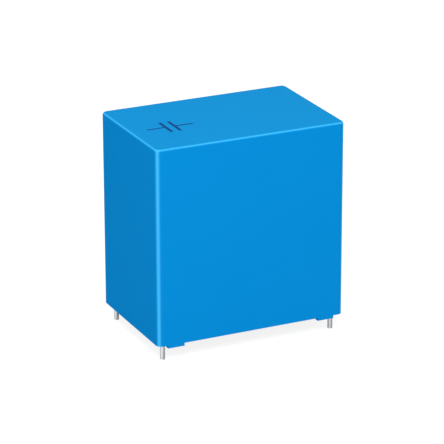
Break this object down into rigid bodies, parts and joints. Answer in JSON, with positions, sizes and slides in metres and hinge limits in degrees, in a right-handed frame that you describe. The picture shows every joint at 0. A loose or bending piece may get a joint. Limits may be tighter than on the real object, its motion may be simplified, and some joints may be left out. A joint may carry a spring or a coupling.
{
  "type": "box film capacitor",
  "caption": "Box-shaped film capacitor in a blue moulded case with rounded edges, stand-off feet and short tinned leads near its corners, for mounting on a circuit board.",
  "frame": {"origin": "centre of the four-lead pattern in the seating plane, which is the underside of the stand-off feet and the top of the board", "axes": "+Z away from the board, towards the closed top; X from the left terminal to the right one, along the 37.5 mm lead spacing; Y across the two leads of a terminal, with the front at -Y"},
  "size_m": [0.0412, 0.0274, 0.0447],
  "materials": {
    "case_plastic": "moulded thermoplastic, satin",
    "casting_resin": "cast resin, cured, slightly glossy",
    "metallised_film": "wound metallised plastic film",
    "sprayed_metal": "rough sprayed zinc",
    "tinned_wire": "bright tinned copper wire",
    "solder": "tin solder"
  },
  "bodies": {
    "root": {"case": "case_plastic", "potting_resin": "casting_resin", "film_winding": "metallised_film", "end_spray_left": "sprayed_metal", "end_spray_right": "sprayed_metal", "terminal_wire_left": "tinned_wire", "terminal_wire_right": "tinned_wire", "solder_joint_left": "solder", "solder_joint_right": "solder"}
  },
  "joints": []
}
